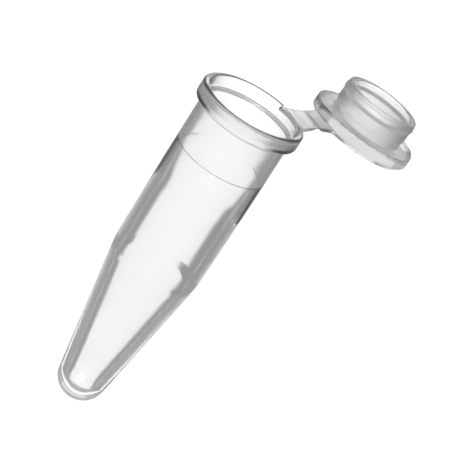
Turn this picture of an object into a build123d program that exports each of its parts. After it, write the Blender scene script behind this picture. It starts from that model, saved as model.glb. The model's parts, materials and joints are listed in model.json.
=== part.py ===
from build123d import *
import os
from math import acos, atan2, cos, hypot, radians, sin

# A snap-lid microcentrifuge tube, 1.5 ml, moulded with its lid standing open.
# Millimetres. +Z runs up the tube towards its mouth, +X runs out to the strap and the lid,
# and the origin is on the tube's axis at the underside of the collar, where a rack holds it.

# ---- Tube, outside -------------------------------------------------------------------------
tube_length = 39.0          # mouth to tip
collar_height = 1.8
barrel_radius = 5.2         # straight band that sits in a rack hole
collar_reach = 0.77         # collar beyond that band
collar_round = 0.3          # rounding of the collar's two outer edges
barrel_band = 8.0           # length of that band below the collar
barrel_length = 18.6        # collar underside to the start of the cone
barrel_draft = 0.11         # how much smaller the barrel's radius is at the cone
tip_radius = 2.775          # ball at the cone's end

# ---- Tube, inside --------------------------------------------------------------------------
seat_wall = 0.55            # wall of the barrel round the seat of the lid's plug
bore_depth = 6.9            # mouth to the small ledge that ends the seat
seat_ledge = 0.06           # width and height of that ledge
barrel_wall = 0.95          # wall of the barrel further down
barrel_taper = 5.0          # height over which the bore narrows from the ledge to that wall
cone_wall = 0.98            # wall of the cone
cone_inset = 0.8            # how far the inner cone starts below the outer one
bottom_wall = 1.3           # thickness at the tip
lead_in_depth = 2.2         # mouth to the straight seat
lead_in_break = 1.3         # depth at which the lead-in turns steeper
lead_in_mouth = 0.7         # added to the bore's radius at the mouth
lead_in_mid = 0.2           # added to the bore's radius at the break

# ---- Strap ---------------------------------------------------------------------------------
strap_thickness = 0.42
strap_drop = 0.38           # mouth plane to the strap's top face at the collar
strap_end_width = 4.0       # at the collar and at the lid
strap_fold_width = 3.2      # at the fold in the middle
strap_run = 4.12            # from the collar's fold line to the lid's, along X
strap_rise = 0.62           # and along Z
strap_seat = 0.2            # lid's outer face to the strap's underside
fold_share = 0.52           # where the middle fold lies on that run
lug_reach = 0.18            # collar edge to the collar's fold line
fold_gap = 0.07             # solid left out on each side of a fold line

# ---- Lid -----------------------------------------------------------------------------------
lid_lean = 5.74             # degrees that the open lid leans past a half turn
lid_thickness = 1.65
lid_overhang = 0.065        # lid radius beyond the collar's
lid_chamfer = 0.5           # edge of the face that ends on top
lid_edge = 0.15             # edge of the face that meets the mouth
lid_flat = 0.28             # cut off the disc where the strap joins
tab_reach = 0.4             # thumb tab beyond the disc
tab_width = 7.0
tab_inset = 0.25            # tab thinner than the disc on each face

# ---- Plug ----------------------------------------------------------------------------------
plug_height = 3.3
plug_wall = 0.65
plug_clearance = 0.37       # plug wall to the bore
bead_clearance = 0.23       # sealing bead to the bore
neck_clearance = 0.5        # relief at the plug's root
neck_height = 0.7
bead_height = 2.5           # middle of the bead above the lid's face
bead_half_width = 0.45
lip_round = 0.2

# ---- Places worked out from the sizes above ------------------------------------------------
mouth_z = collar_height
tip_z = mouth_z - tube_length
collar_radius = barrel_radius + collar_reach
bore_radius = barrel_radius - seat_wall
cone_z = -barrel_length
cone_start_radius = barrel_radius - barrel_draft
ledge_z = mouth_z - bore_depth
inner_barrel_radius = barrel_radius - barrel_wall
inner_cone_z = cone_z - cone_inset
inner_cone_radius = cone_start_radius - barrel_wall
inner_tip_radius = tip_radius - cone_wall
inner_tip_z = tip_z + bottom_wall

lid_radius = collar_radius + lid_overhang
collar_fold = Vector(collar_radius + lug_reach, 0, mouth_z - strap_drop)
lid_fold = collar_fold + Vector(strap_run, 0, strap_rise)
middle_fold = collar_fold + (lid_fold - collar_fold) * fold_share

# The lid is drawn flat, with its mouth face at height 0 and its plug upwards, and then put in
# its open place, where the line that folds beside the strap lands on lid_fold.
lid_turn = Rot(0, lid_lean, 0)
lid_fold_height = strap_seat + strap_thickness - lid_thickness
lid_fold_drawn = Vector(lid_flat - fold_gap - lid_radius, 0, lid_fold_height)
lid_place = Pos(*(lid_fold - (lid_turn * Pos(*lid_fold_drawn)).position)) * lid_turn

well_clear = 2 * tube_length    # side of a cutting block that reaches past everything


def half_section(*corners):
    """Straight edges of a half section through (radius, height) corners."""
    return Polyline(*[(radius, 0, height) for radius, height in corners])


def turned(*edges):
    """Solid turned about Z from the edges that close its half section."""
    return revolve(make_face(Curve() + list(edges)), Axis.Z)


def tip(radius, bottom_z, start_radius, start_z):
    """Corner where a cone's straight side meets its ball end, and the arc from there to the axis.

    The side runs from (start_radius, start_z) and is tangent to the ball. It leaves the axis at
    the angle a for which start_radius * cos(a) - rise * sin(a) = radius, rise being the height
    of the start over the ball's centre."""
    centre_z = bottom_z + radius
    rise = start_z - centre_z
    angle = acos(radius / hypot(start_radius, rise)) - atan2(rise, start_radius)
    middle = (angle + radians(90)) / 2
    corner = (radius * cos(angle), centre_z - radius * sin(angle))
    arc = ThreePointArc(
        (corner[0], 0, corner[1]),
        (radius * cos(middle), 0, centre_z - radius * sin(middle)),
        (0, 0, bottom_z),
    )
    return corner, arc


def at_height(shape, height):
    """Round edges of a shape that lie at a height."""
    return shape.edges().filter_by(GeomType.CIRCLE).filter_by_position(Axis.Z, height, height)


def make_wall():
    """The whole tube: its outside less its cavity."""
    corner, arc = tip(tip_radius, tip_z, cone_start_radius, cone_z)
    outside = turned(
        half_section(
            (0, mouth_z),
            (collar_radius, mouth_z),
            (collar_radius, 0),
            (barrel_radius, 0),
            (barrel_radius, -barrel_band),
            (cone_start_radius, cone_z),
            corner,
        ),
        arc,
        half_section((0, tip_z), (0, mouth_z)),
    )
    collar_edges = [e for height in (0, mouth_z) for e in at_height(outside, height)]
    outside = fillet([e for e in collar_edges if e.radius > barrel_radius], collar_round)

    corner, arc = tip(inner_tip_radius, inner_tip_z, inner_cone_radius, inner_cone_z)
    cavity = turned(
        half_section(
            (0, mouth_z),
            (bore_radius + lead_in_mouth, mouth_z),
            (bore_radius + lead_in_mid, mouth_z - lead_in_break),
            (bore_radius, mouth_z - lead_in_depth),
            (bore_radius, ledge_z),
            (bore_radius - seat_ledge, ledge_z - seat_ledge),
            (inner_barrel_radius, ledge_z - barrel_taper),
            (inner_cone_radius, inner_cone_z),
            corner,
        ),
        arc,
        half_section((0, inner_tip_z), (0, mouth_z)),
    )
    return outside - cavity


def between(shape, low, high):
    """The part of a shape that lies between two heights."""
    slab = Pos(0, 0, (low + high) / 2) * Box(well_clear, well_clear, high - low)
    return shape & slab


def make_collar(wall):
    """Ring round the mouth, with the lug that the strap leaves from."""
    ring = between(wall, 0, mouth_z)
    length = collar_fold.X - fold_gap
    lug = Pos(length / 2, 0, collar_fold.Z - strap_thickness / 2) * Box(
        length, strap_end_width, strap_thickness
    )
    return ring + (lug - Cylinder(collar_radius - collar_round, well_clear))


def make_strap_half(start, end, start_width, end_width):
    """Flat plate whose top face runs from one fold line to the next, short of both by the gap."""
    along = (end - start).normalized()
    face = Plane(origin=start, x_dir=along, z_dir=along.cross(Vector(0, 1, 0)))
    length = (end - start).length - fold_gap
    outline = Polyline(
        (fold_gap, -start_width / 2),
        (length, -end_width / 2),
        (length, end_width / 2),
        (fold_gap, start_width / 2),
        close=True,
    )
    return extrude(face * make_face(outline), -strap_thickness)


def make_disc():
    """Lid's disc with its edges broken and a flat where the strap joins."""
    disc = Pos(0, 0, -lid_thickness / 2) * Cylinder(lid_radius, lid_thickness)
    disc = chamfer(at_height(disc, -lid_thickness), lid_chamfer)
    disc = fillet(at_height(disc, 0), lid_edge)
    beyond = Pos(lid_flat - lid_radius - well_clear / 2, 0, 0)
    return disc - beyond * Box(well_clear, well_clear, well_clear)


def make_tab():
    """Crescent for the thumb: the disc's outline moved outwards, less the disc."""
    height = lid_thickness - lid_chamfer - tab_inset
    crescent = Pos(tab_reach, 0, 0) * Cylinder(lid_radius, height)
    crescent -= Cylinder(lid_radius, 2 * height)
    crescent &= Pos(lid_radius, 0, 0) * Box(lid_radius, tab_width, 2 * height)
    return Pos(0, 0, -tab_inset - height / 2) * crescent


def make_plug():
    """Hollow plug with a relief at its root and a sealing bead near its rounded lip."""
    neck = bore_radius - neck_clearance
    side = bore_radius - plug_clearance
    bead = bore_radius - bead_clearance
    inside = side - plug_wall
    low = bead_height - bead_half_width
    high = bead_height + bead_half_width
    plug = turned(
        half_section((inside, plug_height), (inside, 0), (neck, 0), (neck, neck_height)),
        half_section((neck, neck_height), (side, neck_height + side - neck), (side, low)),
        ThreePointArc((side, 0, low), (bead, 0, bead_height), (side, 0, high)),
        half_section((side, high), (side, plug_height), (inside, plug_height)),
    )
    return fillet(at_height(plug, plug_height), lip_round)


wall = make_wall()
parts = {
    "tube_collar": make_collar(wall),
    "tube_barrel": between(wall, cone_z, 0),
    "tube_cone": between(wall, tip_z, cone_z),
    "strap_tube_half": make_strap_half(collar_fold, middle_fold, strap_end_width, strap_fold_width),
    "strap_lid_half": make_strap_half(middle_fold, lid_fold, strap_fold_width, strap_end_width),
    "lid_disc": lid_place * make_disc(),
    "lid_tab": lid_place * make_tab(),
    "lid_plug": lid_place * make_plug(),
}

os.makedirs("parts", exist_ok=True)
for name, shape in parts.items():
    export_step(shape, f"parts/{name}.step")
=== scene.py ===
"""Snap-lid microcentrifuge tube in clear polypropylene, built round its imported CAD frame.

Laid out as an add-on and run as a script. Lengths are in metres, in the part's own frame:
+Z runs up the tube, +X out to the strap and the lid."""

import json
import math

import bpy
import numpy as np
from bpy.props import FloatProperty, FloatVectorProperty, IntProperty, PointerProperty
from mathutils import Matrix, Vector


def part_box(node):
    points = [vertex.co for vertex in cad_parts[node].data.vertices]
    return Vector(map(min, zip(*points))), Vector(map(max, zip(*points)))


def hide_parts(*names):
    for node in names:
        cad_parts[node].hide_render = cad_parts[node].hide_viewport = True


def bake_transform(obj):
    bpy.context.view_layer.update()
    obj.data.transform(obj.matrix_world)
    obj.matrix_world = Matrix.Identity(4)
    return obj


bl_info = {
    "name": "Microcentrifuge tube",
    "version": (1, 0, 0),
    "blender": (4, 5, 0),
    "location": "3D View > Sidebar > Sample tube",
    "description": "Clear moulded tube with its strap, lid and plug, and a plain studio",
    "category": "Object",
}

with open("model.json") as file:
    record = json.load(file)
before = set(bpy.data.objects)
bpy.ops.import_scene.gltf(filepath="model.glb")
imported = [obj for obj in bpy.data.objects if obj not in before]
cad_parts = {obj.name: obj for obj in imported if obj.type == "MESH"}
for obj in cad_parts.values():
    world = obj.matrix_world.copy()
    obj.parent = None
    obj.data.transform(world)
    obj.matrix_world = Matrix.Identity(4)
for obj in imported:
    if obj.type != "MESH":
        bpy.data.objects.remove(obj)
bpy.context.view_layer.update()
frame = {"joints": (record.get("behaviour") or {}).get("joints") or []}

MM = 0.001
PLASTIC = "clear_plastic"
ADDED = "added_roughness"           # point attribute that the plastic reads
FOLDS = {joint["name"]: Vector(joint["pos_m"]) for joint in frame["joints"]}

# Outer sizes and places, read from the frame
MOUTH_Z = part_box("tube_collar")[1].z
COLLAR_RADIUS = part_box("tube_collar")[1].y
BARREL_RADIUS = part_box("tube_barrel")[1].y
CONE_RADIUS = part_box("tube_cone")[1].y
CONE_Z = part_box("tube_cone")[1].z
TIP_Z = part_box("tube_cone")[0].z
LID_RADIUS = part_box("lid_disc")[1].y

# How finely shapes are drawn
ARC_STEPS = 8
BALL_STEPS = 24
CORNER_STEPS = 10
STRAP_STATIONS = 48
WEB_STATIONS = 17
SHARP_ANGLE = math.radians(40)      # edges that turn by more stay sharp where pieces join
STRAIGHT = 1e-4                     # a corner that turns by less, in radians, gets no arc
HAIR = 0.01 * MM                    # smaller than any real size of the object
CLOUD_RANGE = (0.45, 0.75)          # noise below is smooth skin, and above is fully cloudy
CLOUD_DETAIL = 4.0                  # octaves of noise in the clouds
RIPPLE_DETAIL = 2.0                 # and in the ripple
WEB_SHARE = 0.99                    # length of the web, as a share of the gap that it fills
THIN_CORNER = 1 / 2.2               # largest corner of a plate, as a share of its thickness


def length(text, default):
    """A length in metres whose default is given in millimetres."""
    return FloatProperty(name=text, description=text, default=default * MM, unit="LENGTH", precision=5)


def angle(text, default):
    """An angle whose default is given in degrees."""
    return FloatProperty(
        name=text, description=text, default=math.radians(default), subtype="ANGLE", unit="ROTATION"
    )


def number(text, default, low=0.0, high=1.0):
    """A plain number between two ends."""
    return FloatProperty(name=text, description=text, default=default, min=low, max=high)


class TubeSettings(bpy.types.PropertyGroup):
    """Sizes of the tube that its outer box doesn't give."""

    collar_round: length("Rounding of the collar's edges", 0.3)
    mouth_round: length("Rounding of the mouth's inner edge", 0.2)
    barrel_band: length("Straight band below the collar", 8.0)
    shoulder_round: length("Softening where barrel turns to cone", 1.5)
    tip_radius: length("Ball at the tip", 2.775)
    bore_radius: length("Seat of the plug", 4.65)
    bore_depth: length("Mouth to the ledge that ends the seat", 6.9)
    seat_ledge: length("Width and height of that ledge", 0.06)
    barrel_wall: length("Wall of the barrel further down", 0.95)
    barrel_taper: length("Height over which the bore narrows to that wall", 5.0)
    cone_wall: length("Wall of the cone", 0.98)
    cone_inset: length("Start of the inner cone below the outer one", 0.8)
    bottom_wall: length("Thickness at the tip", 1.3)
    lead_in_depth: length("Mouth to the end of the lead-in", 2.2)
    lead_in_break: length("Depth where the lead-in turns steeper", 1.3)
    lead_in_mouth: length("Lead-in's extra radius at the mouth", 0.7)
    lead_in_mid: length("Lead-in's extra radius at the break", 0.2)
    collar_root: length("Rounding where the collar meets the barrel", 0.1)
    break_round: length("Rounding where the lead-in turns steeper", 0.3)
    seat_round: length("Rounding where the seat starts", 0.1)
    ledge_round: length("Rounding of the ledge's corners", 0.05)
    taper_round: length("Rounding where the taper ends", 12.0)
    segments: IntProperty(name="Segments", description="Segments round the tube", default=256, min=32)


class LidSettings(bpy.types.PropertyGroup):
    """Sizes of the lid and its plug."""

    lean: angle("Lean of the open lid past a half turn", 5.74)
    thickness: length("Thickness of the disc", 1.65)
    chamfer: length("Broken edge of the top face", 0.5)
    edge: length("Rounding of the face that meets the mouth", 0.15)
    flat: length("Flat where the strap joins", 0.28)
    fold_gap: length("Fold line to the flat", 0.07)
    tab_reach: length("Thumb tab beyond the disc", 0.4)
    tab_width: length("Width of the thumb tab", 7.0)
    plug_height: length("Height of the plug", 3.3)
    plug_wall: length("Wall of the plug", 0.65)
    plug_clearance: length("Plug to the bore", 0.37)
    bead_clearance: length("Sealing bead to the bore", 0.23)
    neck_clearance: length("Relief at the plug's root to the bore", 0.5)
    neck_height: length("Height of the relief", 0.7)
    bead_height: length("Middle of the sealing bead", 2.5)
    bead_half_width: length("Half the bead's width", 0.45)
    lip_round: length("Rounding of the plug's lip", 0.2)
    chamfer_round: length("Rounding of the broken edge's two corners", 0.25)
    root_round: length("Rounding at the plug's root", 0.12)
    neck_round: length("Rounding of the relief's two corners", 0.15)
    bead_foot: length("Rounding at the bead's foot", 0.3)
    bead_round: length("Rounding of the bead's crest", 0.4)
    bead_end: length("Rounding where the bead ends", 0.1)
    floor_round: length("Rounding at the bottom of the plug's hollow", 0.35)
    rim_start: number("Where the disc's rim starts, as a share of its radius", 0.85)
    rim_blend: number("How much of the radius the rim fades in over", 0.13)
    flat_bulge: number("How much of its roundness the flat keeps", 0.02)
    segments: IntProperty(name="Segments", description="Segments round the lid", default=224, min=32)


class StrapSettings(bpy.types.PropertyGroup):
    """Sizes of the folding strap."""

    thickness: length("Thickness", 0.42)
    web: length("Thickness of the middle fold", 0.16)
    web_reach: length("Middle fold line to where the strap thickens", 0.16)
    end_width: length("Width at the collar and at the lid", 4.0)
    fold_width: length("Width at the middle fold", 3.2)
    seat: length("Lid's outer face to the strap's underside", 0.2)
    bury: length("How far past the outer fold lines the strap runs on, into collar and lid", 0.55)
    bend: length("Stretch over which the strap bends at its ends", 0.5)
    thickening: length("Stretch over which the strap thickens beside the middle fold", 0.5)
    flare: number("How late the strap widens, 1 for evenly", 1.3, 0.5, 4.0)
    corner: length("Rounding of the strap's long edges", 0.09)


class PlasticSettings(bpy.types.PropertyGroup):
    """The clear polypropylene."""

    tint: FloatVectorProperty(
        name="Tint", description="Colour of light through the plastic", subtype="COLOR",
        default=(0.935, 0.935, 0.94), min=0.0, max=1.0,
    )
    depth_tint: FloatVectorProperty(
        name="Depth tint", description="Colour that thick plastic turns", subtype="COLOR",
        default=(0.5, 0.51, 0.52), min=0.0, max=1.0,
    )
    density: number("Absorption per metre", 30.0, 0.0, 5000.0)
    ior: number("Index of refraction", 1.49, 1.0, 2.5)
    roughness: number("Roughness of the tube's smooth skin", 0.05)
    collar_roughness: number("Added roughness of the collar", 0.15)
    strap_roughness: number("Added roughness of the strap", 0.3)
    plug_roughness: number("Added roughness of the plug's outside and the face round it", 0.3)
    plug_margin: length("Plug's inner wall to where its dull outside starts", 0.1)
    disc_roughness: number("Added roughness of the rest of the lid", 0.02)
    fade: length("Length over which one roughness turns into the next", 0.5)
    haze: number("Added roughness where the skin is cloudy", 0.03)
    cloud_scale: number("Clouds of the skin per metre", 160.0, 1.0, 10000.0)
    ripple_scale: number("Ripples of the skin per metre", 900.0, 1.0, 10000.0)
    ripple_strength: number("Strength of the ripple", 0.15)
    ripple_depth: length("Depth of the ripple", 0.02)


class StudioSettings(bpy.types.PropertyGroup):
    """Camera, floor and lights."""

    azimuth: angle("Direction of view, from +Y towards +X", 47.86)
    elevation: angle("Height of the view", 21.96)
    roll: angle("Roll of the camera", -32.82)
    distance: length("Camera to the point it looks at", 300.0)
    lens: FloatProperty(name="Lens", description="Focal length in millimetres", default=234.2)
    aim: FloatVectorProperty(
        name="Aim", description="Point that the camera looks at", subtype="XYZ", unit="LENGTH",
        default=(-0.58 * MM, -5.98 * MM, -9.22 * MM),
    )
    floor_drop: length("Tip to the floor", 500.0)
    floor_size: length("Side of the floor", 12000.0)
    floor_shade: number("Shade of the floor, from black to white", 0.45)
    floor_roughness: number("Roughness of the floor", 0.9)
    panel_distance: length("Tube to the middle of the panel, along the view", 1250.0)
    panel_offset: length("Middle of the panel to the left of the view", 55.0)
    panel_turn: angle("Turn of the panel to the left of the view", 8.9)
    panel_height: length("Panel above the floor", 200.0)
    panel_length: length("Panel along the view", 1800.0)
    panel_width: length("Panel across the view", 510.0)
    panel_spread: angle("Spread of the panel's light", 40.0)
    panel_power: number("Power of the panel in watts", 5.1, 0.0, 1000.0)
    fill_distance: length("Tube to the fill light, behind the camera", 1500.0)
    fill_height: length("Fill light above the floor", 1500.0)
    fill_size: length("Side of the fill light", 1500.0)
    fill_power: number("Power of the fill light in watts", 40.0, 0.0, 1000.0)
    back_distance: length("Tube to the upright back light, along the view", 2800.0)
    back_length: length("Back light across the view", 3000.0)
    back_width: length("Height of the back light", 1200.0)
    back_power: number("Power of the back light in watts", 4.0, 0.0, 1000.0)
    surround: number("Brightness of the surround", 0.6)
    clip_near: length("Nearest distance that the camera sees", 10.0)
    clip_far: length("Furthest distance that the camera sees", 20000.0)


# ---- Shapes --------------------------------------------------------------------------------


def rounded(corners, support=0.03 * MM):
    """Half section whose corners (radius, height, rounding) are turned into arcs.

    At a corner where the line turns by t, the arc of rounding r starts and ends r * tan(t / 2)
    from the corner and is cut into even angles. A support point lies just outside each end of
    an arc, so that smooth shading stays on the arc."""
    points = [Vector(corner[:2]) for corner in corners]
    out = [points[0]]
    for before, here, after, corner in zip(points, points[1:], points[2:], corners[1:]):
        back, ahead = (before - here).normalized(), (after - here).normalized()
        turn = math.pi - back.angle(ahead)
        if corner[2] <= 0 or turn < STRAIGHT:
            out.append(here)
            continue
        reach = corner[2] * math.tan(turn / 2)
        centre = here + (back + ahead).normalized() * (corner[2] / math.cos(turn / 2))
        start, end = here + back * reach - centre, here + ahead * reach - centre
        out.append(here + back * (reach + support))
        for part in np.linspace(0, 1, ARC_STEPS + 1):
            out.append(
                centre
                + start * (math.sin((1 - part) * turn) / math.sin(turn))
                + end * (math.sin(part * turn) / math.sin(turn))
            )
        out.append(here + ahead * (reach + support))
    out.append(points[-1])
    return np.array([tuple(p) for p in out])


def ball_end(radius, bottom, start):
    """Ball at the end of a cone, from the tangent point to the axis, as (radius, height) rows.

    The cone's side from start is tangent to the ball: it leaves the axis at the angle a for which
    start_radius * cos(a) - rise * sin(a) = radius."""
    centre = bottom + radius
    rise = start[1] - centre
    lean = math.acos(radius / math.hypot(start[0], rise)) - math.atan2(rise, start[0])
    angles = np.linspace(lean, math.pi / 2, BALL_STEPS)
    return np.stack([radius * np.cos(angles), centre - radius * np.sin(angles)], axis=1)


def ring_faces(rows, count):
    """Four-sided faces of a grid whose rows are closed rings of count points.

    Face (i, j) joins points j and j + 1 of ring i to the same two of ring i + 1."""
    i, j = np.meshgrid(np.arange(rows - 1), np.arange(count), indexing="ij")
    k = (j + 1) % count
    here, ahead = i * count, (i + 1) * count
    return np.stack([here + j, here + k, ahead + k, ahead + j], -1).reshape(-1, 4).tolist()


def turned_mesh(name, section, segments, reshape=None):
    """Closed surface turned about Z from a half section that starts and ends on the axis.

    Point (i, j) is (r_i cos a_j, r_i sin a_j, z_i); the two poles are single points closed with
    fans. reshape(x, y, z) may move the points before they go into the mesh."""
    inner = section[1:-1]
    angles = np.linspace(0, 2 * math.pi, segments, endpoint=False)
    x = np.outer(inner[:, 0], np.cos(angles))
    y = np.outer(inner[:, 0], np.sin(angles))
    z = np.repeat(inner[:, 1:], segments, axis=1)
    if reshape:
        x, y, z = reshape(x, y, z)
    poles = np.array([[0, 0, section[0, 1]], [0, 0, section[-1, 1]]])
    points = np.concatenate([np.stack([x, y, z], axis=-1).reshape(-1, 3), poles])
    rows = len(inner)
    ring = np.arange(segments)
    after = (ring + 1) % segments
    first = np.stack([np.full(segments, rows * segments), after, ring], -1)
    base = (rows - 1) * segments
    last = np.stack([np.full(segments, rows * segments + 1), base + ring, base + after], -1)
    faces = ring_faces(rows, segments) + first.tolist() + last.tolist()
    return mesh_object(name, points, faces)


def mesh_object(name, points, faces):
    """Smooth-shaded object from an array of points and a list of faces, with faces outwards."""
    mesh = bpy.data.meshes.new(name)
    mesh.from_pydata(points.tolist(), [], faces)
    mesh.validate()
    mesh.polygons.foreach_set("use_smooth", np.ones(len(mesh.polygons), dtype=bool))
    piece = bpy.data.objects.new(name, mesh)
    bpy.context.scene.collection.objects.link(piece)
    if enclosed(mesh) < 0:
        mesh.flip_normals()
    return piece


def enclosed(mesh):
    """Volume inside a closed mesh, which is negative when its faces point inwards.

    It is the sum over all triangles of a . (b x c) / 6, a, b and c being a triangle's corners."""
    mesh.calc_loop_triangles()
    corners = np.zeros(len(mesh.vertices) * 3)
    mesh.vertices.foreach_get("co", corners)
    triangles = np.zeros(len(mesh.loop_triangles) * 3, dtype=np.int32)
    mesh.loop_triangles.foreach_get("vertices", triangles)
    a, b, c = corners.reshape(-1, 3)[triangles.reshape(-1, 3)].transpose(1, 0, 2)
    return float(np.einsum("ij,ij->i", a, np.cross(b, c)).sum()) / 6


def united(piece, other):
    """One closed surface round two pieces that run into each other, kept in the first."""
    modifier = piece.modifiers.new("union", "BOOLEAN")
    modifier.operation = "UNION"
    modifier.solver = "EXACT"
    modifier.object = other
    bpy.context.view_layer.update()
    finished = piece.evaluated_get(bpy.context.evaluated_depsgraph_get())
    whole = bpy.data.meshes.new_from_object(finished)
    piece.modifiers.clear()
    piece.data = whole
    whole.name = piece.name
    whole.set_sharp_from_angle(angle=SHARP_ANGLE)
    bpy.data.objects.remove(other)
    return piece


def plate_mesh(name, start, end, half_width, drop, stations, corner):
    """Strap piece from start to end whose top face runs along the straight line between them.

    Station s in 0..1 has a rounded rectangle for its section, half_width(s) to each side and
    drop(s) deep below the line. The section's corners are quarter circles, which shrink where
    the piece is thinner than two of them."""
    along = (end - start).normalized()
    up = along.cross(Vector((0, 1, 0)))
    up = -up if up.z < 0 else up
    half = np.array([half_width(s) for s in stations])[:, None]
    deep = np.array([drop(s) for s in stations])[:, None]
    arcs = []
    for k, (side, level) in enumerate(((1, 1), (-1, 1), (-1, -1), (1, -1))):
        turn = math.pi / 2 * (k + np.linspace(0, 1, CORNER_STEPS))
        signs = np.full(CORNER_STEPS, side), np.full(CORNER_STEPS, level)
        arcs.append((*signs, np.cos(turn), np.sin(turn)))
    side, level, cosine, sine = (np.concatenate(part)[None, :] for part in zip(*arcs))
    radius = np.minimum(corner, THIN_CORNER * deep)
    y = side * (half - radius) + radius * cosine
    z = -deep / 2 + level * (deep / 2 - radius) + radius * sine
    s = np.repeat(stations[:, None], y.shape[1], axis=1) * (end - start).length
    points = (
        np.array(start)
        + s[..., None] * np.array(along)
        + y[..., None] * np.array((0, 1, 0))
        + z[..., None] * np.array(up)
    )
    count = y.shape[1]
    faces = ring_faces(len(stations), count)
    faces.append(list(range(count))[::-1])
    faces.append([(len(stations) - 1) * count + j for j in range(count)])
    return mesh_object(name, points.reshape(-1, 3), faces)


def smooth_step(value):
    """0 before 0, 1 after 1, and 3v^2 - 2v^3 between."""
    value = np.clip(value, 0, 1)
    return value * value * (3 - 2 * value)


def strap_half(which, strap):
    """Half of the strap, from the thin middle fold out into the collar or the lid.

    With g the smooth step, its width grows from the fold's to the end's as g(s) to the power of
    the flare, and its thickness grows from the web's to its own as g(distance / thickening)."""
    middle = FOLDS["middle_fold"]
    outer = FOLDS["collar_fold"] if which == "near" else FOLDS["lid_fold"]
    away = (outer - middle).normalized()
    start = middle + away * strap.web_reach
    end = outer + away * strap.bury
    run = (end - start).length

    def half_width(s):
        grown = smooth_step(s) ** strap.flare
        return (strap.fold_width + (strap.end_width - strap.fold_width) * grown) / 2

    def drop(s):
        grown = smooth_step(s * run / strap.thickening)
        return strap.web + (strap.thickness - strap.web) * grown

    stations = np.linspace(0, 1, STRAP_STATIONS)
    return plate_mesh("strap_half_" + which, start, end, half_width, drop, stations, strap.corner)


# ---- Material ------------------------------------------------------------------------------


def skin_group():
    """Node group for a moulded skin: a cloud of slightly duller patches and a fine ripple."""
    group = bpy.data.node_groups.new("moulded_skin", "ShaderNodeTree")
    sockets = group.interface
    for name in ("Smooth", "Haze", "Cloud Scale", "Ripple Scale"):
        sockets.new_socket(name=name, in_out="INPUT", socket_type="NodeSocketFloat")
    for name in ("Roughness", "Height"):
        sockets.new_socket(name=name, in_out="OUTPUT", socket_type="NodeSocketFloat")
    nodes, links = group.nodes, group.links
    given, out = nodes.new("NodeGroupInput"), nodes.new("NodeGroupOutput")
    place = nodes.new("ShaderNodeTexCoord")
    cloud = nodes.new("ShaderNodeTexNoise")
    cloud.inputs["Detail"].default_value = CLOUD_DETAIL
    ripple = nodes.new("ShaderNodeTexNoise")
    ripple.inputs["Detail"].default_value = RIPPLE_DETAIL
    spread = nodes.new("ShaderNodeMapRange")
    spread.inputs["From Min"].default_value = CLOUD_RANGE[0]
    spread.inputs["From Max"].default_value = CLOUD_RANGE[1]
    scaled = nodes.new("ShaderNodeMath")
    scaled.operation = "MULTIPLY_ADD"
    links.new(place.outputs["Object"], cloud.inputs["Vector"])
    links.new(place.outputs["Object"], ripple.inputs["Vector"])
    links.new(given.outputs["Cloud Scale"], cloud.inputs["Scale"])
    links.new(given.outputs["Ripple Scale"], ripple.inputs["Scale"])
    links.new(cloud.outputs["Fac"], spread.inputs["Value"])
    links.new(spread.outputs["Result"], scaled.inputs[0])
    links.new(given.outputs["Haze"], scaled.inputs[1])
    links.new(given.outputs["Smooth"], scaled.inputs[2])
    links.new(scaled.outputs["Value"], out.inputs["Roughness"])
    links.new(ripple.outputs["Fac"], out.inputs["Height"])
    return group


def clear_plastic(settings):
    """Natural polypropylene: clear, a little grey through its depth, with a faintly uneven skin."""
    material = bpy.data.materials.new(PLASTIC)
    material.use_nodes = True
    nodes, links = material.node_tree.nodes, material.node_tree.links
    shader = nodes["Principled BSDF"]
    shader.inputs["Base Color"].default_value = (*settings.tint, 1.0)
    shader.inputs["IOR"].default_value = settings.ior
    shader.inputs["Transmission Weight"].default_value = 1.0
    skin = nodes.new("ShaderNodeGroup")
    skin.node_tree = skin_group()
    marked = nodes.new("ShaderNodeAttribute")
    marked.attribute_name = ADDED
    total = nodes.new("ShaderNodeMath")
    total.operation = "ADD"
    total.inputs[1].default_value = settings.roughness
    links.new(marked.outputs["Fac"], total.inputs[0])
    links.new(total.outputs["Value"], skin.inputs["Smooth"])
    skin.inputs["Haze"].default_value = settings.haze
    skin.inputs["Cloud Scale"].default_value = settings.cloud_scale
    skin.inputs["Ripple Scale"].default_value = settings.ripple_scale
    links.new(skin.outputs["Roughness"], shader.inputs["Roughness"])
    bump = nodes.new("ShaderNodeBump")
    bump.inputs["Strength"].default_value = settings.ripple_strength
    bump.inputs["Distance"].default_value = settings.ripple_depth
    links.new(skin.outputs["Height"], bump.inputs["Height"])
    links.new(bump.outputs["Normal"], shader.inputs["Normal"])
    depth = nodes.new("ShaderNodeVolumeAbsorption")
    depth.inputs["Color"].default_value = (*settings.depth_tint, 1.0)
    depth.inputs["Density"].default_value = settings.density
    links.new(depth.outputs["Volume"], nodes["Material Output"].inputs["Volume"])
    return material


def pale_floor(studio):
    """Matt pale studio floor."""
    material = bpy.data.materials.new("pale_floor")
    material.use_nodes = True
    shader = material.node_tree.nodes["Principled BSDF"]
    shader.inputs["Base Color"].default_value = (studio.floor_shade,) * 3 + (1.0,)
    shader.inputs["Roughness"].default_value = studio.floor_roughness
    return material


def mark_roughness(mesh, added, place=Matrix()):
    """Marks each point with the roughness that added(x, y, z) gives, in the frame of place."""
    points = np.zeros(len(mesh.vertices) * 3)
    mesh.vertices.foreach_get("co", points)
    back = np.array(place.inverted())
    local = points.reshape(-1, 3) @ back[:3, :3].T + back[:3, 3]
    mark = mesh.attributes.new(ADDED, "FLOAT", "POINT")
    mark.data.foreach_set("value", added(*local.T).astype(np.float32))


def the_plastic():
    """The clear polypropylene, made once."""
    found = bpy.data.materials.get(PLASTIC)
    return found or clear_plastic(bpy.context.scene.tube_plastic)


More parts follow.
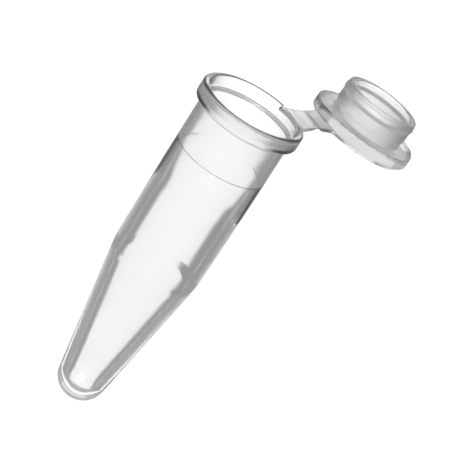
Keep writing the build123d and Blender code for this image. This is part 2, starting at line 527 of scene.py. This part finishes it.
def finish(piece, nodes):
    """Give a piece its plastic, and hide the CAD nodes that it stands for."""
    piece.data.materials.clear()
    piece.data.materials.append(the_plastic())
    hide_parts(*nodes)


def area_light(name, size_x, size_y, power):
    """Rectangular light that shines straight down."""
    lamp = bpy.data.lights.new(name, "AREA")
    lamp.shape = "RECTANGLE"
    lamp.size, lamp.size_y, lamp.energy = size_x, size_y, power
    light = bpy.data.objects.new(name, lamp)
    bpy.context.scene.collection.objects.link(light)
    return light


# ---- Operators -----------------------------------------------------------------------------


class SAMPLE_TUBE_OT_tube(bpy.types.Operator):
    """Make the tube's wall and the half of the strap that grows out of its collar"""

    bl_idname = "sample_tube.tube"
    bl_label = "Tube"

    def execute(self, context):
        tube, strap = context.scene.tube_sizes, context.scene.strap_sizes
        cone_start = (CONE_RADIUS, CONE_Z)
        inner_start = (CONE_RADIUS - tube.barrel_wall, CONE_Z - tube.cone_inset)
        tip = ball_end(tube.tip_radius, TIP_Z, cone_start)
        inner_radius, inner_bottom = tube.tip_radius - tube.cone_wall, TIP_Z + tube.bottom_wall
        inner_tip = ball_end(inner_radius, inner_bottom, inner_start)
        ledge_z = MOUTH_Z - tube.bore_depth
        section = np.concatenate([
            tip[::-1],
            rounded([
                (*tip[0], 0),
                cone_start + (tube.shoulder_round,),
                (BARREL_RADIUS, -tube.barrel_band, 0),
                (BARREL_RADIUS, 0, tube.collar_root),
                (COLLAR_RADIUS, 0, tube.collar_round),
                (COLLAR_RADIUS, MOUTH_Z, tube.collar_round),
                (tube.bore_radius + tube.lead_in_mouth, MOUTH_Z, tube.mouth_round),
                (tube.bore_radius + tube.lead_in_mid, MOUTH_Z - tube.lead_in_break, tube.break_round),
                (tube.bore_radius, MOUTH_Z - tube.lead_in_depth, tube.seat_round),
                (tube.bore_radius, ledge_z, tube.ledge_round),
                (tube.bore_radius - tube.seat_ledge, ledge_z - tube.seat_ledge, tube.ledge_round),
                (BARREL_RADIUS - tube.barrel_wall, ledge_z - tube.barrel_taper, tube.taper_round),
                (*inner_start, tube.shoulder_round),
                (*inner_tip[0], 0),
            ])[1:],
            inner_tip[1:],
        ])
        section[0, 0] = section[-1, 0] = 0.0        # both ends exactly on the axis
        body = turned_mesh("tube_moulding", section, tube.segments)
        body = united(body, strap_half("near", strap))
        plastic = context.scene.tube_plastic

        def added(x, y, z):
            """Duller from the fade below the collar up, and duller again towards the strap."""
            collar = plastic.collar_roughness * smooth_step(z / plastic.fade + 1)
            outwards = smooth_step((x - COLLAR_RADIUS) / plastic.fade + 1)
            return collar + (plastic.strap_roughness - collar) * outwards

        mark_roughness(body.data, added)
        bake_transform(body)
        finish(body, ["tube_collar", "tube_barrel", "tube_cone", "strap_tube_half"])
        return {"FINISHED"}


class SAMPLE_TUBE_OT_lid(bpy.types.Operator):
    """Make the lid's disc, thumb tab and plug, and the half of the strap that grows out of it"""

    bl_idname = "sample_tube.lid"
    bl_label = "Lid"

    def execute(self, context):
        scene = context.scene
        lid, tube, strap, plastic = (
            scene.lid_sizes, scene.tube_sizes, scene.strap_sizes, scene.tube_plastic
        )
        neck = tube.bore_radius - lid.neck_clearance
        side = tube.bore_radius - lid.plug_clearance
        bead = tube.bore_radius - lid.bead_clearance
        inside = side - lid.plug_wall
        low, high = lid.bead_height - lid.bead_half_width, lid.bead_height + lid.bead_half_width
        section = rounded([
            (0, -lid.thickness, 0),
            (LID_RADIUS - lid.chamfer, -lid.thickness, lid.chamfer_round),
            (LID_RADIUS, -lid.thickness + lid.chamfer, lid.chamfer_round),
            (LID_RADIUS, 0, lid.edge),
            (neck, 0, lid.root_round),
            (neck, lid.neck_height, lid.neck_round),
            (side, lid.neck_height + side - neck, lid.neck_round),
            (side, low, lid.bead_foot),
            (bead, lid.bead_height, lid.bead_round),
            (side, high, lid.bead_end),
            (side, lid.plug_height, lid.lip_round),
            (inside, lid.plug_height, lid.lip_round),
            (inside, 0, lid.floor_round),
            (0, 0, 0),
        ])
        edge = LID_RADIUS - lid.flat

        def reshape(x, y, z):
            """Cuts the flat on the strap's side, and moves the far edge out for the thumb.

            The far edge moves out by the tab's reach times 1 - (2 y / tab width)^4."""
            rim = smooth_step((np.hypot(x, y) / LID_RADIUS - lid.rim_start) / lid.rim_blend)
            x = np.where((x < -edge) & (rim > 0), -edge + (x + edge) * lid.flat_bulge, x)
            across = np.clip(1 - (2 * np.abs(y) / lid.tab_width) ** 4, 0, 1)
            ahead = (x > 0) * across * rim * (z < HAIR)
            return x + lid.tab_reach * ahead, y, z

        body = turned_mesh("lid_moulding", section, lid.segments, reshape)
        fold_height = strap.seat + strap.thickness - lid.thickness
        drawn = Vector((lid.flat - lid.fold_gap - LID_RADIUS, 0, fold_height))
        turn = Matrix.Rotation(lid.lean, 4, "Y")
        place = Matrix.Translation(FOLDS["lid_fold"] - turn @ drawn) @ turn
        body.data.transform(place)
        body = united(body, strap_half("far", strap))

        def added(x, y, z):
            """The plug's outside and the face round it are dull, and so is the strap."""
            radius = np.hypot(x, y)
            outside = (radius > inside + plastic.plug_margin) & (radius < LID_RADIUS - lid.edge)
            dull = (z > -HAIR) & outside
            disc = np.where(dull, plastic.plug_roughness, plastic.disc_roughness)
            return disc + (plastic.strap_roughness - disc) * smooth_step((-edge - x) / plastic.fade)

        mark_roughness(body.data, added, place)
        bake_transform(body)
        finish(body, ["lid_disc", "lid_tab", "lid_plug", "strap_lid_half"])
        return {"FINISHED"}


class SAMPLE_TUBE_OT_fold(bpy.types.Operator):
    """Make the thin web at the strap's middle fold, which joins its two halves"""

    bl_idname = "sample_tube.fold"
    bl_label = "Middle fold"

    def execute(self, context):
        strap = context.scene.strap_sizes
        middle = FOLDS["middle_fold"]
        along = (FOLDS["lid_fold"] - FOLDS["collar_fold"]).normalized() * strap.web_reach
        web = plate_mesh(
            "strap_fold", middle - along * WEB_SHARE, middle + along * WEB_SHARE,
            lambda s: strap.fold_width / 2, lambda s: strap.web,
            np.linspace(0, 1, WEB_STATIONS), strap.corner,
        )
        roughness = context.scene.tube_plastic.strap_roughness
        mark_roughness(web.data, lambda x, y, z: np.full(len(x), roughness))
        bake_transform(web)
        finish(web, [])
        return {"FINISHED"}


class SAMPLE_TUBE_OT_studio(bpy.types.Operator):
    """Set up the pale floor, the soft lights and the camera"""

    bl_idname = "sample_tube.studio"
    bl_label = "Studio"

    def execute(self, context):
        studio = context.scene.studio
        half = studio.floor_size / 2
        z = TIP_Z - studio.floor_drop
        corners = np.array([(-half, -half, z), (half, -half, z), (half, half, z), (-half, half, z)])
        mesh = bpy.data.meshes.new("floor")
        mesh.from_pydata(corners.tolist(), [], [(0, 1, 2, 3)])
        mesh.materials.append(pale_floor(studio))
        floor = bpy.data.objects.new("floor", mesh)
        context.scene.collection.objects.link(floor)
        self.camera(context, studio)
        self.lights(context, studio)
        return {"FINISHED"}

    @staticmethod
    def camera(context, studio):
        """Camera that looks at the aim along azimuth and elevation, turned by roll about its view."""
        flat = Vector((math.sin(studio.azimuth), math.cos(studio.azimuth), 0))
        ahead = flat * math.cos(studio.elevation) - Vector((0, 0, math.sin(studio.elevation)))
        side = ahead.cross(Vector((0, 0, 1))).normalized()
        level = side.cross(ahead)
        up = level * math.cos(studio.roll) + side * math.sin(studio.roll)
        right = ahead.cross(up)
        camera = bpy.data.objects.new("camera", bpy.data.cameras.new("camera"))
        camera.data.lens = studio.lens
        camera.data.clip_start = studio.clip_near
        camera.data.clip_end = studio.clip_far
        place = Matrix((right, up, -ahead)).transposed().to_4x4()
        place.translation = Vector(studio.aim) - ahead * studio.distance
        camera.matrix_world = place
        context.scene.collection.objects.link(camera)
        context.scene.camera = camera

    @staticmethod
    def lights(context, studio):
        """A soft panel over the floor behind the tube, a fill, a back light and an even surround."""
        world = bpy.data.worlds.new("studio")
        world.use_nodes = True
        background = world.node_tree.nodes["Background"].inputs
        background["Color"].default_value = (1, 1, 1, 1)
        background["Strength"].default_value = studio.surround
        context.scene.world = world
        ahead = Vector((math.sin(studio.azimuth), math.cos(studio.azimuth), 0))
        left = Vector((-ahead.y, ahead.x, 0))
        floor = Vector((0, 0, TIP_Z - studio.floor_drop))
        panel = area_light("panel", studio.panel_length, studio.panel_width, studio.panel_power)
        panel.data.spread = studio.panel_spread
        panel.location = floor + ahead * studio.panel_distance + left * studio.panel_offset
        panel.location.z += studio.panel_height
        panel.rotation_euler.z = math.pi / 2 - studio.azimuth + studio.panel_turn
        fill = area_light("fill", studio.fill_size, studio.fill_size, studio.fill_power)
        fill.location = floor - ahead * studio.fill_distance
        fill.location.z += studio.fill_height
        back = area_light("back", studio.back_length, studio.back_width, studio.back_power)
        back.location = ahead * studio.back_distance + Vector((0, 0, studio.back_width / 2))
        back.rotation_euler = (math.pi / 2, 0, math.pi - studio.azimuth)
        context.scene.view_settings.view_transform = "Standard"


class SAMPLE_TUBE_PT_panel(bpy.types.Panel):
    """Lists the steps that make the tube"""

    bl_idname = "SAMPLE_TUBE_PT_panel"
    bl_label = "Sample tube"
    bl_space_type = "VIEW_3D"
    bl_region_type = "UI"
    bl_category = "Sample tube"

    def draw(self, context):
        for operator in OPERATORS:
            self.layout.operator(operator.bl_idname)
        for name in SETTINGS:
            box = self.layout.box()
            group = getattr(context.scene, name)
            for key in group.bl_rna.properties.keys():
                if key not in ("rna_type", "name"):
                    box.prop(group, key)


OPERATORS = (SAMPLE_TUBE_OT_tube, SAMPLE_TUBE_OT_fold, SAMPLE_TUBE_OT_lid, SAMPLE_TUBE_OT_studio)
SETTINGS = {
    "tube_sizes": TubeSettings,
    "lid_sizes": LidSettings,
    "strap_sizes": StrapSettings,
    "tube_plastic": PlasticSettings,
    "studio": StudioSettings,
}


def register():
    """Register the settings, the operators and the panel."""
    for name, group in SETTINGS.items():
        bpy.utils.register_class(group)
        setattr(bpy.types.Scene, name, PointerProperty(type=group))
    for operator in OPERATORS:
        bpy.utils.register_class(operator)
    bpy.utils.register_class(SAMPLE_TUBE_PT_panel)


def unregister():
    """Take everything that register added away again."""
    bpy.utils.unregister_class(SAMPLE_TUBE_PT_panel)
    for operator in reversed(OPERATORS):
        bpy.utils.unregister_class(operator)
    for name, group in reversed(SETTINGS.items()):
        delattr(bpy.types.Scene, name)
        bpy.utils.unregister_class(group)


def main():
    """Make every piece and the studio."""
    register()
    bpy.ops.sample_tube.tube()
    bpy.ops.sample_tube.fold()
    bpy.ops.sample_tube.lid()
    bpy.ops.sample_tube.studio()


if __name__ == "__main__":
    main()
